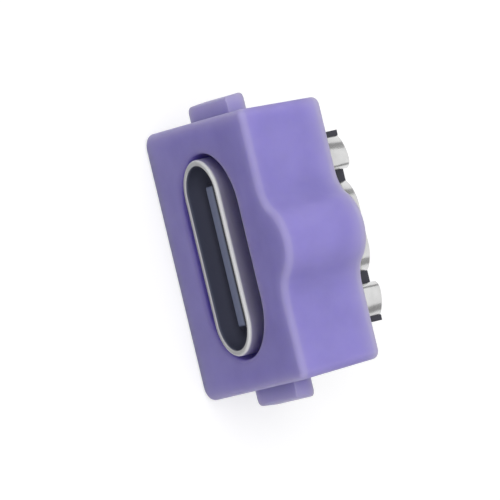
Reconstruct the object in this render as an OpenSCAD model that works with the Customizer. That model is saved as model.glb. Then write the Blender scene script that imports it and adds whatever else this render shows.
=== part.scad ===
// USB-C power socket: a moulded snap-in housing around a metal receptacle with solder terminals.
// X runs along the long side of the mouth, +Y goes into the socket, and +Z points to the bump.
// The origin is the centre of the mating mouth, in the plane of the shell's rim.
// All lengths are in millimetres.

/* [Housing] */
// Length of the housing, without its snap tabs
housing_length = 12.25; // [11.6:0.05:16]
// Thickness of the housing, without its bump
housing_thickness = 9.4; // [7.6:0.1:12]
// Depth of the housing, from its front face to its rear face
housing_depth = 4.1; // [3.5:0.1:4.6]
// Corner radius on the flat side
flat_side_corner_r = 0.7; // [0.4:0.05:1.2]
// Corner radius on the bump side
bump_side_corner_r = 0.4; // [0.35:0.05:1]
// Rounding of the front and rear edges
edge_r = 0.25; // [0.1:0.01:0.3]
// Draft of both ends, in degrees
draft = 2.6; // [0:0.1:4]

/* [Bump] */
// Height of the bump above the housing, at the front
bump_height = 1.35; // [0.8:0.01:2]
// Width of the bump at its foot
bump_width = 5.1; // [4.4:0.1:7]
// Rise of the bump's top towards the rear, in degrees
bump_slope = 1.5; // [0:0.5:4]
// Radius of the bump's round top
bump_top_r = 1.75; // [1:0.05:1.9]

/* [Snap tabs] */
// Length of each tab, across the thickness of the housing
tab_length = 3.7; // [2:0.02:5]
// Width of each tab, along the depth of the housing
tab_width = 0.88; // [0.6:0.01:1.4]
// Reach of each tab beyond the end, at the tab's front
tab_reach = 0.72; // [0.4:0.01:1.2]
// Rise of the tab's outer face towards the rear, in degrees
tab_ramp = 6; // [0:1:12]
// Distance of the tab behind the front face
tab_setback = 1.06; // [0.3:0.01:1.6]
// Radius of the tab's outer corners
tab_corner_r = 0.27; // [0.1:0.01:0.35]

/* [Pocket] */
// Gap between the shell and the pocket at each end
pocket_end_gap = 0.22; // [0.15:0.01:0.6]
// Gap between the shell and the pocket on each long side
pocket_side_gap = 0.95; // [0.5:0.05:1.4]
// Depth of the pocket behind the front face
pocket_depth = 2.3; // [1.5:0.1:2.8]
// Rounding of the pocket's mouth
pocket_mouth_r = 0.15; // [0.05:0.01:0.25]

/* [Shell] */
// Outer length of the shell's mouth
shell_length = 8.94; // [8.8:0.01:9.2]
// Outer height of the shell's mouth
shell_height = 3.16; // [3.1:0.01:3.4]
// Sheet thickness of the shell
shell_wall = 0.3; // [0.2:0.01:0.32]
// Depth of the shell, from its rim to its open rear end
shell_depth = 5.2; // [5:0.1:6]
// Distance that the rim stands out of the housing's front face
shell_proud = 0.32; // [0.1:0.01:0.6]

/* [Tongue] */
// Width of the tongue
tongue_width = 6.69; // [6.5:0.01:6.75]
// Thickness of the tongue
tongue_thickness = 0.7; // [0.66:0.01:0.8]
// Distance of the tongue's tip behind the rim
tongue_recess = 0.46; // [0.3:0.01:0.8]
// Chamfer along the tongue's tip
tongue_chamfer = 0.13; // [0.05:0.01:0.15]
// Chamfer at both ends of the tongue's tip
tongue_corner = 0.22; // [0.05:0.01:0.25]
// Thickness of the step at the tongue's root
step_thickness = 1.3; // [1.1:0.05:1.6]
// Depth of that step, in front of the base
step_depth = 0.7; // [0.4:0.1:1]
// Depth of the base that fills the rear of the shell
base_depth = 0.9; // [0.7:0.1:1.1]
// Fitting gap between the base and the shell
base_gap = 0.02; // [0.01:0.01:0.05]

/* [Mid plate] */
// Thickness of the steel plate inside the tongue
plate_thickness = 0.15; // [0.1:0.01:0.18]
// Distance of the plate's front edge behind the tongue's tip
plate_setback = 0.25; // [0.15:0.01:0.5]
// Distance of the latch notches behind the tongue's tip
notch_setback = 1.3; // [1:0.1:1.8]
// Length of each latch notch
notch_length = 1; // [0.6:0.1:1.3]
// Depth of each latch notch
notch_depth = 0.3; // [0.15:0.01:0.4]

/* [Contact carriers] */
// Length of each contact carrier
carrier_length = 6.9; // [6.6:0.1:7.2]
// Height of each contact carrier, from the mid plate outwards
carrier_height = 0.75; // [0.5:0.05:0.9]
// Depth of each contact carrier
carrier_depth = 0.55; // [0.3:0.05:0.6]

/* [Contacts] */
// Width of each contact
contact_width = 0.3; // [0.2:0.01:0.4]
// Thickness of each contact
contact_thickness = 0.15; // [0.1:0.01:0.18]
// Distance of the power contacts from the middle
power_contact_x = 1.25; // [1:0.05:1.4]
// Distance of the ground contacts from the middle
ground_contact_x = 2.75; // [2.7:0.01:2.8]
// Distance of the ground contacts behind the tongue's tip
ground_contact_setback = 0.35; // [0.2:0.01:0.6]
// Distance of the power contacts behind the tongue's tip
power_contact_setback = 0.65; // [0.4:0.01:1]

/* [Rear insulator] */
// Length of the rear insulator
insulator_length = 8.7; // [8.6:0.05:9]
// Height of the rear insulator
insulator_height = 3.2; // [3.1:0.05:3.6]
// Depth of the rear insulator, behind the shell
insulator_depth = 1.25; // [1.1:0.05:1.8]
// Corner radius of the rear insulator
insulator_corner_r = 0.3; // [0.1:0.05:0.6]
// Depth of the spigot that enters the shell
spigot_depth = 0.25; // [0.15:0.05:0.35]
// Thickness of the rib beside each ground terminal
rib_thickness = 0.25; // [0.15:0.01:0.3]
// Height of the rib beside each ground terminal
rib_height = 0.27; // [0.1:0.01:0.5]

/* [Terminals] */
// Sheet thickness of the terminals
terminal_sheet = 0.25; // [0.15:0.01:0.3]
// Length of the terminals, up to the rear face of the insulator
terminal_depth = 1.05; // [0.8:0.05:1.05]
// Width of the power terminal's arch at its feet
arch_width = 4.18; // [3.6:0.02:4.4]
// Width of the flat top of the arch
arch_flat = 1.75; // [1.2:0.05:2]
// Height of the arch above the insulator
arch_height = 0.72; // [0.6:0.01:1.1]
// Distance of each ground terminal's inner edge from the middle
barrel_inner_x = 2.58; // [2.45:0.01:2.62]
// Width of each ground terminal
barrel_width = 1.52; // [1.3:0.01:1.53]
// Height of each ground terminal above the insulator
barrel_height = 0.8; // [0.7:0.01:1.1]
// Height of each ground terminal's outer edge above the insulator
barrel_edge_height = 0.26; // [0.26:0.01:0.4]
// Radius of the roll at each ground terminal's inner edge
barrel_roll_r = 0.4; // [0.32:0.01:0.5]

/* [Hidden] */

$fn = 64;
LEFT = -1;
RIGHT = 1;
UPPER = 1;
LOWER = -1;
over = 1; // how far a cutter runs past the face that it opens

// Steps of the faceted round stretches
corner_steps = 8;
foot_steps = 8;
top_steps = 16;
edge_steps = 5;
pocket_steps = 24;

// Stations along the depth
front_y = shell_proud;
rear_y = front_y + housing_depth;
tip_y = tongue_recess;
base_end_y = shell_depth - spigot_depth;
base_y = base_end_y - base_depth;
step_y = base_y - step_depth;
carrier_y = base_end_y - carrier_depth;
socket_end_y = shell_depth + insulator_depth;
terminal_y = socket_end_y - terminal_depth;

// Levels in the thickness
flat_side_z = -housing_thickness / 2;
bump_side_z = housing_thickness / 2;
terminal_z = insulator_height / 2;
contact_z = tongue_thickness / 2 - contact_thickness;

// The mouth inside the shell, and the base and spigot that fit in it
mouth_length = shell_length - 2 * shell_wall;
mouth_height = shell_height - 2 * shell_wall;
base_length = mouth_length - 2 * base_gap;
base_height = mouth_height - 2 * base_gap;

// Radius of an arc that leaves a flat top and falls by height over a run
function shoulder_r(run, height) = (run * run + height * height) / (2 * height);

// Points of an arc in its own plane
function arc(centre, r, from, to, steps) = [
    for (i = [0:steps])
        let (a = from + (to - from) * i / steps)
        centre + r * [cos(a), sin(a)]
];

// Outline of a bump of this height, from right to left, moved inwards by inset: a round top between two
// hollow feet, which meet it at the same lean
function bump_outline(height, inset) =
    let (
        foot_x = bump_width / 2,
        lean = 2 * atan(height / foot_x),
        foot_r = foot_x / sin(lean) - bump_top_r,
        foot_z = bump_side_z + foot_r,
        top_z = bump_side_z + height - bump_top_r
    )
    concat(
        arc([foot_x, foot_z], foot_r + inset, 270, 270 - lean, foot_steps),
        arc([0, top_z], bump_top_r - inset, 90 - lean, 90 + lean, top_steps),
        arc([-foot_x, foot_z], foot_r + inset, 270 + lean, 270, foot_steps)
    );

// Outline of the housing at a depth behind its front face, moved inwards by inset
function housing_outline(depth, inset) =
    let (
        half_length = housing_length / 2 - depth * tan(draft),
        height = bump_height + depth * tan(bump_slope),
        low_x = half_length - flat_side_corner_r,
        low_z = flat_side_z + flat_side_corner_r,
        high_x = half_length - bump_side_corner_r,
        high_z = bump_side_z - bump_side_corner_r,
        low_r = flat_side_corner_r - inset,
        high_r = bump_side_corner_r - inset
    )
    concat(
        arc([-low_x, low_z], low_r, 180, 270, corner_steps),
        arc([low_x, low_z], low_r, 270, 360, corner_steps),
        arc([high_x, high_z], high_r, 0, 90, corner_steps),
        bump_outline(height, inset),
        arc([-high_x, high_z], high_r, 90, 180, corner_steps)
    );

// Solid through flat rings of points round the Y axis. All rings run the same way round, with as many
// points each, and each end is closed by a fan from the axis.
module loft(rings) {
    count = len(rings[0]);
    last = len(rings) - 1;
    first_middle = (last + 1) * count;
    points = concat(
        [for (ring = rings) each ring],
        [for (ring = [rings[0], rings[last]]) [0, ring[0][1], 0]]
    );
    sides = [
        for (k = [0:last - 1], i = [0:count - 1])
            let (
                j = (i + 1) % count,
                a = k * count + i,
                b = k * count + j,
                c = a + count,
                d = b + count
            )
            each [[a, b, c], [b, d, c]]
    ];
    caps = [
        for (i = [0:count - 1])
            let (j = (i + 1) % count)
            each [[first_middle, j, i], [first_middle + 1, last * count + i, last * count + j]]
    ];
    polyhedron(points, concat(sides, caps));
}

// Solid of a flat shape in X and Z, from one depth to another
module along_y(from, to) {
    translate([0, to, 0])
        rotate([90, 0, 0])
            linear_extrude(to - from)
                children();
}

// Solid of a flat shape in Y and X, between two levels
module along_z(from, to) {
    translate([0, 0, from])
        linear_extrude(to - from)
            children();
}

// Flat shape with two straight sides and two round ends
module obround(length, height) {
    square([length - height, height], center = true);
    for (side = [LEFT, RIGHT])
        translate([side * (length - height) / 2, 0])
            circle(d = height);
}

// Flat rectangle with round corners, centred
module round_square(length, height, r) {
    square([length - 2 * r, height], center = true);
    square([length, height - 2 * r], center = true);
    for (x = [LEFT, RIGHT], y = [LOWER, UPPER])
        translate([x * (length / 2 - r), y * (height / 2 - r)])
            circle(r);
}

// ---- Housing ----

// Moulded block with drafted ends, round edges and the bump
module housing_block() {
    roll = [for (i = [0:edge_steps]) 90 * i / edge_steps];
    front = [for (a = roll) [edge_r * (1 - cos(a)), edge_r * (1 - sin(a))]];
    rear = [for (i = [edge_steps:-1:0]) [housing_depth - front[i][0], front[i][1]]];
    loft([
        for (station = concat(front, rear))
            [for (p = housing_outline(station[0], station[1])) [p[0], front_y + station[0], p[1]]]
    ]);
}

// Snap tab on one end: round at its corners, with an outer face that ramps up towards the rear
module snap_tab(side) {
    from = front_y + tab_setback;
    reach = over + tab_reach;
    mirror([side == LEFT ? 1 : 0, 0, 0])
        intersection() {
            translate([housing_length / 2 + tab_reach, from, 0])
                rotate([0, 0, -tab_ramp])
                    along_y(-over, tab_width + over)
                        translate([-reach, 0])
                            round_square(2 * reach, tab_length, tab_corner_r);
            translate([housing_length / 2 - over / 2, from, -tab_length / 2])
                cube([2 * reach, tab_width, tab_length]);
        }
}

// Pocket round the shell, with its mouth rounded over
module pocket() {
    length = shell_length + 2 * pocket_end_gap;
    height = shell_height + 2 * pocket_side_gap;
    centre = (length - height) / 2;
    roll = [for (i = [0:edge_steps]) 90 * i / edge_steps];
    flare = [for (a = roll) [pocket_mouth_r * (1 - cos(a)), pocket_mouth_r * (1 - sin(a))]];
    loft([
        for (station = concat([[-over, pocket_mouth_r]], flare, [[pocket_depth, 0]]))
            let (r = height / 2 + station[1])
            [
                for (p = concat(
                    arc([centre, 0], r, -90, 90, pocket_steps),
                    arc([-centre, 0], r, 90, 270, pocket_steps)
                ))
                    [p[0], front_y + station[0], p[1]]
            ]
    ]);
}

module housing() {
    color([0.55, 0.5, 0.78])
        difference() {
            union() {
                housing_block();
                snap_tab(LEFT);
                snap_tab(RIGHT);
            }
            pocket();
            along_y(front_y, rear_y + over)
                obround(shell_length, shell_height);
        }
}

// ---- Shell ----

// Section through the shell's wall: straight, with a round rim at the mouth
module shell_section() {
    translate([shell_height / 2 - shell_wall, shell_wall / 2])
        square([shell_wall, shell_depth - shell_wall / 2]);
    translate([(shell_height - shell_wall) / 2, shell_wall / 2])
        circle(d = shell_wall);
}

module shell() {
    straight = shell_length - shell_height;
    color([0.84, 0.84, 0.83]) {
        for (side = [LEFT, RIGHT])
            translate([side * straight / 2, 0, 0])
                rotate([-90, 0, 0])
                    rotate([0, 0, -90 * side])
                        rotate_extrude(angle = 180)
                            shell_section();
        for (side = [0, 1])
            mirror([0, 0, side])
                rotate([0, -90, 0])
                    linear_extrude(straight, center = true)
                        shell_section();
    }
}

// ---- Contacts ----

// Strip contact, flush with one face of the tongue, that runs back to its terminal's leg
module contact(side, face, x, setback) {
    from = tip_y + setback;
    level = face == UPPER ? contact_z : -contact_z - contact_thickness;
    translate([side * x - contact_width / 2, from, level])
        cube([contact_width, terminal_y - from, contact_thickness]);
}

module power_contact(side, face) {
    color([0.86, 0.7, 0.35])
        contact(side, face, power_contact_x, power_contact_setback);
}

module ground_contact(side, face) {
    color([0.86, 0.7, 0.35])
        contact(side, face, ground_contact_x, ground_contact_setback);
}

module all_contacts() {
    for (side = [LEFT, RIGHT], face = [UPPER, LOWER]) {
        power_contact(side, face);
        ground_contact(side, face);
    }
}

// ---- Mid plate ----

// Latch notches in both edges of the tongue and of the plate
module latch_notches() {
    for (side = [LEFT, RIGHT])
        translate([side * tongue_width / 2, tip_y + notch_setback + notch_length / 2])
            round_square(2 * notch_depth, notch_length, notch_depth / 2);
}

module mid_plate_outline() {
    from = tip_y + plate_setback;
    difference() {
        translate([-tongue_width / 2, from])
            square([tongue_width, base_end_y - from]);
        latch_notches();
    }
}

module mid_plate() {
    color([0.7, 0.71, 0.72])
        along_z(-plate_thickness / 2, plate_thickness / 2)
            mid_plate_outline();
}

// ---- Contact carriers ----

// Block that holds one row of contacts, between the mid plate and the tongue's base
module carrier_block(face) {
    height = carrier_height - plate_thickness / 2;
    translate([-carrier_length / 2, carrier_y, face == UPPER ? plate_thickness / 2 : -carrier_height])
        cube([carrier_length, carrier_depth, height]);
}

module carrier(face) {
    color([0.16, 0.17, 0.2])
        difference() {
            carrier_block(face);
            all_contacts();
        }
}

// ---- Tongue ----

// Side view of the tongue from its chamfered tip to its step, in Y and Z
module tongue_profile() {
    half = tongue_thickness / 2;
    nose = half - tongue_chamfer;
    polygon([
        [tip_y, -nose], [tip_y + tongue_chamfer, -half], [base_y + over / 2, -half],
        [base_y + over / 2, half], [tip_y + tongue_chamfer, half], [tip_y, nose]
    ]);
}

// View from above of the tongue, with both corners of its tip cut off
module tongue_plan() {
    half = tongue_width / 2;
    polygon([
        [-half, base_y + over], [-half, tip_y + tongue_corner], [tongue_corner - half, tip_y],
        [half - tongue_corner, tip_y], [half, tip_y + tongue_corner], [half, base_y + over]
    ]);
}

module tongue() {
    color([0.13, 0.15, 0.2])
        difference() {
            union() {
                intersection() {
                    rotate([90, 0, 90])
                        linear_extrude(tongue_width, center = true)
                            tongue_profile();
                    along_z(-tongue_thickness, tongue_thickness)
                        tongue_plan();
                }
                along_y(step_y, base_y)
                    square([tongue_width, step_thickness], center = true);
                along_y(base_y, base_end_y)
                    obround(base_length, base_height);
            }
            mid_plate();
            along_z(-step_thickness, step_thickness)
                latch_notches();
            all_contacts();
            carrier_block(UPPER);
            carrier_block(LOWER);
        }
}

// ---- Terminals ----

// Leg that goes down from a terminal, through the insulator, to both of its contacts
module terminal_leg(x, top_z) {
    bottom_z = -tongue_thickness / 2;
    translate([x - contact_width / 2, terminal_y, bottom_z])
        cube([contact_width, terminal_sheet, top_z - bottom_z]);
}

// Outline of the arch, drawn inwards by inset: a flat top with round shoulders
module arch_outline(inset) {
    run = (arch_width - arch_flat) / 2;
    r = shoulder_r(run, arch_height);
    intersection() {
        union() {
            translate([-arch_flat / 2, 0])
                square([arch_flat, arch_height - inset]);
            for (side = [LEFT, RIGHT])
                translate([side * arch_flat / 2, arch_height - r])
                    circle(r - inset);
        }
        translate([-arch_width / 2, 0])
            square([arch_width, arch_height]);
    }
}

module power_terminal() {
    color([0.84, 0.84, 0.83]) {
        along_y(terminal_y, socket_end_y)
            translate([0, terminal_z])
                difference() {
                    arch_outline(0);
                    arch_outline(terminal_sheet);
                }
        for (side = [LEFT, RIGHT])
            terminal_leg(side * power_contact_x, terminal_z + arch_height - terminal_sheet);
    }
}

// Outline of a ground terminal, drawn inwards by inset: a small roll at its inner edge and a long fall outwards
module barrel_outline(inset) {
    run = barrel_width - barrel_roll_r;
    r = shoulder_r(run, barrel_height - barrel_edge_height);
    peak_x = barrel_inner_x + barrel_roll_r;
    translate([peak_x, barrel_height - barrel_roll_r])
        circle(barrel_roll_r - inset);
    translate([barrel_inner_x + inset, 0])
        square([barrel_roll_r - inset, barrel_height - barrel_roll_r]);
    intersection() {
        translate([peak_x, barrel_height - r])
            circle(r - inset);
        translate([peak_x, 0])
            square([run - inset, barrel_height]);
    }
}

module ground_terminal(side) {
    color([0.84, 0.84, 0.83])
        mirror([side == LEFT ? 1 : 0, 0, 0]) {
            along_y(terminal_y, socket_end_y)
                translate([0, terminal_z])
                    difference() {
                        barrel_outline(0);
                        barrel_outline(terminal_sheet);
                    }
            terminal_leg(ground_contact_x, terminal_z + barrel_roll_r);
        }
}

// ---- Rear insulator ----

module rear_insulator() {
    rib_x = barrel_inner_x + barrel_width;
    color([0.1, 0.1, 0.13])
        difference() {
            union() {
                along_y(base_end_y, shell_depth)
                    obround(base_length, base_height);
                along_y(shell_depth, socket_end_y)
                    round_square(insulator_length, insulator_height, insulator_corner_r);
                for (side = [LEFT, RIGHT])
                    translate([side * (rib_x + rib_thickness / 2), terminal_y, terminal_z])
                        translate([-rib_thickness / 2, 0, -insulator_corner_r])
                            cube([rib_thickness, terminal_depth, insulator_corner_r + rib_height]);
            }
            all_contacts();
            power_terminal();
            ground_terminal(LEFT);
            ground_terminal(RIGHT);
        }
}

housing();
shell();
tongue();
mid_plate();
carrier(UPPER);  // upper_carrier
carrier(LOWER);  // lower_carrier
rear_insulator();
power_contact(LEFT, UPPER);  // power_contact_upper_left
power_contact(RIGHT, UPPER);  // power_contact_upper_right
power_contact(LEFT, LOWER);  // power_contact_lower_left
power_contact(RIGHT, LOWER);  // power_contact_lower_right
ground_contact(LEFT, UPPER);  // ground_contact_upper_left
ground_contact(RIGHT, UPPER);  // ground_contact_upper_right
ground_contact(LEFT, LOWER);  // ground_contact_lower_left
ground_contact(RIGHT, LOWER);  // ground_contact_lower_right
power_terminal();
ground_terminal(LEFT);  // ground_terminal_left
ground_terminal(RIGHT);  // ground_terminal_right
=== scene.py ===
"""Finish of a USB-C power socket: smooth mouldings, plated metal, soft light and the camera."""

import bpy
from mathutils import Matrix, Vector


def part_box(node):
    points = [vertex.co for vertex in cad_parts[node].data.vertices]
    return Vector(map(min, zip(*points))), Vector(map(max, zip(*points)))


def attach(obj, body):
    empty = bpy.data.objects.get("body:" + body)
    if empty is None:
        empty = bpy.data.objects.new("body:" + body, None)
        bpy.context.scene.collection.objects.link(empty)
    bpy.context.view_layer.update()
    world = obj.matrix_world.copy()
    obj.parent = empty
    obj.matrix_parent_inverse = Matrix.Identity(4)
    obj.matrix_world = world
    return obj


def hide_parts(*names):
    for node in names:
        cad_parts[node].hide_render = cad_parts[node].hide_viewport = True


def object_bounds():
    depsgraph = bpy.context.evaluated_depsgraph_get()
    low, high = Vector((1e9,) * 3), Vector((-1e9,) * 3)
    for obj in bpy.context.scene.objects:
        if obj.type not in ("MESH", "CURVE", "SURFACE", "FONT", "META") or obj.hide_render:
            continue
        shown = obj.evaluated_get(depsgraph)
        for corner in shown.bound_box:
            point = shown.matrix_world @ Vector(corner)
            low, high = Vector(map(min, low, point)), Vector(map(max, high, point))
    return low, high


bl_info = {
    "name": "USB-C power socket finish",
    "version": (1, 0, 0),
    "blender": (4, 5, 0),
    "location": "View3D > Sidebar > Power socket",
    "description": "Builds a power socket's finished pieces and a small studio round its CAD model",
    "category": "Object",
}

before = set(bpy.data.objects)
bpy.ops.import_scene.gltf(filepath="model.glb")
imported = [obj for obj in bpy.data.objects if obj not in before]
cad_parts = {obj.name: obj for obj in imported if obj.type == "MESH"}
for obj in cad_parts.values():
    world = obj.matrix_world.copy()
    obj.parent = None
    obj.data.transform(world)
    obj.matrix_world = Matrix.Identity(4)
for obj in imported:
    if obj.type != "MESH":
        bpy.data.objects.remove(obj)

import math

import bmesh
import bpy
from bpy.props import FloatProperty, FloatVectorProperty, PointerProperty
from bpy.types import Operator, Panel, PropertyGroup
from mathutils import Matrix, Vector

CAD_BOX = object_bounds()
BODY = "root"
MM = 0.001
QUARTER = math.pi / 2
SIDES = ((-1, "left"), (1, "right"))  # the sign of X, and its name

# A value that the housing carries at each of its points, for painted light and shade: from painted
# shade in its pocket to a painted glow at its edges
TONE = "tone"
POCKET_PAINTED_SHADE, FACE_TONE, EDGE_PAINTED_GLOW = 0.0, 0.5, 1.0

# Which finish goes on which node when the CAD solid itself is shown
SHOWN_NODES = {
    "mid_plate": "plate_steel",
    "upper_carrier": "carrier_plastic",
    "lower_carrier": "carrier_plastic",
}


# ---- Sizes and colours ----


def length(name, millimetres, description):
    """A length that a user may change, given in millimetres."""
    given = {"default": millimetres * MM, "min": 0.0, "precision": 5}
    return FloatProperty(
        name=name, description=description, subtype="DISTANCE", unit="LENGTH", **given
    )


def angle(name, degrees, description):
    """An angle that a user may change, given in degrees."""
    given = math.radians(degrees)
    return FloatProperty(
        name=name, description=description, default=given, subtype="ANGLE", unit="ROTATION"
    )


def colour(name, rgb, description):
    """A linear colour that a user may change."""
    return FloatVectorProperty(
        name=name, description=description, default=rgb, min=0.0, max=1.0, size=3, subtype="COLOR"
    )


def factor(name, value, description):
    """A number from 0 to 1 that a user may change."""
    return FloatProperty(
        name=name, description=description, default=value, min=0.0, max=1.0, subtype="FACTOR"
    )


class HousingForm(PropertyGroup):
    bump_width: length("Bump width", 5.1, "Width of the bump at its foot")
    bump_top_r: length("Bump top radius", 1.75, "Radius of the bump's round top")
    bump_slope: angle("Bump slope", 1.5, "Rise of the bump's top towards the rear")
    flat_corner_r: length("Flat side corners", 0.7, "Corner radius on the flat side")
    bump_corner_r: length("Bump side corners", 0.4, "Corner radius on the bump side")
    edge_r: length("Edge rounding", 0.25, "Rounding of the front and rear edges")
    draft: angle("Draft", 2.6, "Draft of both ends")
    pocket_end_gap: length("Pocket end gap", 0.22, "Gap between shell and pocket at each end")
    pocket_side_gap: length("Pocket side gap", 0.95, "Gap between shell and pocket on each side")
    pocket_depth: length("Pocket depth", 2.3, "Depth of the pocket behind the front face")
    pocket_mouth_r: length("Pocket mouth rounding", 0.15, "Rounding of the pocket's mouth")
    pocket_floor_r: length("Pocket floor fillet", 0.12, "Fillet round the pocket's floor")
    tab_length: length("Tab length", 3.7, "Length of each snap tab")
    tab_width: length("Tab width", 0.88, "Width of each snap tab along the depth")
    tab_reach: length("Tab reach", 0.72, "Reach of each tab at its front")
    tab_setback: length("Tab setback", 1.06, "Distance of the tab behind the front face")
    tab_ramp: angle("Tab ramp", 6.0, "Rise of the tab's outer face towards the rear")
    tab_corner_r: length("Tab corners", 0.27, "Radius of the tab's outer corners")
    tab_edge_r: length("Tab edges", 0.12, "Radius of the tab's outer long edges")


class MetalForm(PropertyGroup):
    shell_wall: length("Shell wall", 0.3, "Sheet thickness of the shell")
    sheet: length("Terminal sheet", 0.25, "Sheet thickness of the terminals")
    sheet_edge_r: length("Sheet edge rounding", 0.05, "Rounding of the terminals' cut edges")
    arch_flat: length("Arch flat", 1.75, "Width of the flat top of the arch")
    roll_r: length("Roll radius", 0.4, "Radius of the roll on each ground terminal")
    outer_edge: length("Outer edge height", 0.26, "Height of each ground terminal's outer edge")
    leg_width: length("Leg width", 0.3, "Width of the legs under the terminals")
    contact_edge_r: length("Contact edge rounding", 0.03, "Rounding of the contacts' edges")


class MouldingForm(PropertyGroup):
    tongue_edge_r: length("Tongue edge rounding", 0.04, "Rounding of the tongue's edges")
    insulator_edge_r: length("Insulator edge rounding", 0.06, "Rounding of the insulator's edges")


class Colours(PropertyGroup):
    housing: colour("Housing", (0.335, 0.294, 0.665), "Main colour of the housing")
    housing_deep: colour("Housing, deep", (0.295, 0.258, 0.610), "Darker clouds in the housing")
    # Painted glow: a lighter colour at the housing's edges that stands in for light showing through
    # them
    housing_painted_glow: colour("Housing, edges", (0.420, 0.390, 0.640), "The housing's lighter edges")
    # Painted shade: a darker colour that stands in for the shade in the pocket
    housing_painted_shade: colour("Housing, pocket", (0.165, 0.130, 0.460), "The housing's dim pocket")
    nickel: colour("Nickel", (0.66, 0.65, 0.65), "Plating of the shell")
    # Painted shade, not tarnish: the shell's low side is painted darker
    nickel_low_painted_shade: colour("Nickel, low side", (0.60, 0.59, 0.62), "The shell's tarnished low side")
    # Painted highlight: a lighter colour on the shell's rim, which is also given a rougher finish
    nickel_rim_painted_highlight: colour("Nickel, rim", (0.75, 0.75, 0.76), "Dull cut rim of the shell")
    # Painted shade: the inside of the mouth is painted dark, a little lighter far in
    nickel_inside_painted_shade: colour("Nickel, inside", (0.066, 0.072, 0.112), "The shell's dull inside")
    nickel_far_in_painted_shade: colour("Nickel, far in", (0.150, 0.156, 0.230), "The shell's inside, far in")
    tin: colour("Tin", (0.72, 0.72, 0.72), "Plating of the terminals")
    gold: colour("Gold", (0.85, 0.64, 0.30), "Plating of the contacts")
    steel: colour("Steel", (0.55, 0.56, 0.58), "The tongue's mid plate")
    tongue: colour("Tongue", (0.022, 0.022, 0.036), "Moulding of the tongue")
    # Painted highlight on the tongue's front face
    tongue_tip_painted_highlight: colour("Tongue tip", (0.23, 0.26, 0.38), "The tongue's pale front face")
    insulator: colour("Insulator", (0.030, 0.030, 0.042), "Moulding behind the shell")
    floor: colour("Floor", (0.45, 0.45, 0.45), "The studio's floor")


class Studio(PropertyGroup):
    azimuth: angle("Azimuth", 1.213, "Turn of the view towards the right")
    elevation: angle("Elevation", 61.5, "Height of the view over the mouth's axis")
    roll: angle("Roll", 14.584, "Turn of the camera about its own axis")
    sky: factor("Sky", 0.28, "Strength of the light from all round")
    top: factor("Top lamp", 0.62, "Power of the lamp over the socket, in watts")
    sides: factor("Side lamps", 0.15, "Power of each lamp beside the socket, in watts")
    front: factor("Front lamp", 0.08, "Power of the cool lamp before the mouth, in watts")
    floor_glow: factor("Floor glow", 0.66, "How much of the floor's white is its own")


class SocketSettings(PropertyGroup):
    housing: PointerProperty(type=HousingForm)
    metal: PointerProperty(type=MetalForm)
    moulding: PointerProperty(type=MouldingForm)
    colours: PointerProperty(type=Colours)
    studio: PointerProperty(type=Studio)


def settings():
    """The scene's own copy of every value above."""
    return bpy.context.scene.socket_settings


def corners(box):
    """A box's low and high corner, as vectors."""
    return [Vector(corner) for corner in box]


# ---- Node trees ----


def math_node(operation, swapped=False):
    """A method that makes one Math node from a value and another number."""

    def method(self, other=0.0):
        pair = (other, self) if swapped else (self, other)
        made = self.tree.node("ShaderNodeMath", dict(enumerate(pair)), operation=operation)
        return Value(self.tree, made.outputs[0])

    return method


class Value:
    """A number in a node tree, on which sums are written as plain expressions."""

    def __init__(self, tree, socket):
        self.tree = tree
        self.socket = socket

    __add__ = math_node("ADD")
    __radd__ = math_node("ADD", swapped=True)
    __sub__ = math_node("SUBTRACT")
    __rsub__ = math_node("SUBTRACT", swapped=True)
    __mul__ = math_node("MULTIPLY")
    __rmul__ = math_node("MULTIPLY", swapped=True)
    __abs__ = math_node("ABSOLUTE")
    power = math_node("POWER")
    at_most = math_node("MINIMUM")
    at_least = math_node("MAXIMUM")


class Tree:
    """Builds one node tree, of a material, the world or Geometry Nodes."""

    def __init__(self, tree):
        self.tree = tree

    def node(self, kind, inputs=None, **options):
        """A node with these options, and a value or a link for each of these sockets."""
        made = self.tree.nodes.new(kind)
        for name, option in options.items():
            setattr(made, name, option)
        for key, given in (inputs or {}).items():
            source = given.socket if isinstance(given, Value) else given
            if isinstance(source, bpy.types.Node):
                source = source.outputs[0]
            if isinstance(source, bpy.types.NodeSocket):
                self.tree.links.new(source, made.inputs[key])
            else:
                made.inputs[key].default_value = source
        return made

    def step(self, value, start, end):
        """0 below start and 1 above end, with a smooth rise in between."""
        made = self.node(
            "ShaderNodeMapRange",
            {"Value": value, "From Min": start, "From Max": end},
            interpolation_type="SMOOTHSTEP",
        )
        return Value(self, made.outputs["Result"])

    def mix(self, amount, first, second):
        """A colour between two, by a number from 0 to 1."""
        inputs = {"Factor": amount, 6: first, 7: second}
        return self.node("ShaderNodeMix", inputs, data_type="RGBA").outputs[2]

    def point(self):
        """The point on the piece, in metres."""
        return self.node("ShaderNodeTexCoord").outputs["Object"]

    def noise(self, feature, detail, stretch=(1.0, 1.0, 1.0)):
        """Soft noise from 0 to 1 whose features are about this size, in metres."""
        place = self.node("ShaderNodeMapping", {"Vector": self.point(), "Scale": stretch})
        inputs = {"Vector": place, "Scale": 1.0 / feature, "Detail": detail}
        return Value(self, self.node("ShaderNodeTexNoise", inputs).outputs[0])

    def attribute(self, name):
        """A number that the piece carries at each of its points."""
        made = self.node("ShaderNodeAttribute", attribute_name=name)
        return Value(self, made.outputs["Fac"])

    def axes(self):
        """The point's X, Y and Z as three values, in metres."""
        parts = self.node("ShaderNodeSeparateXYZ", {0: self.point()})
        return [Value(self, part) for part in parts.outputs]


def rgba(rgb):
    """An opaque colour."""
    return (*rgb, 1.0)


def scaled(rgb, by):
    """A colour made darker or lighter."""
    return [by * part for part in rgb]


def grey(level):
    """An opaque grey."""
    return (level, level, level, 1.0)


def finish_name(slot):
    """A finish's own name, apart from the plain material that comes with the frame."""
    return slot + "_finish"


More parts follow.
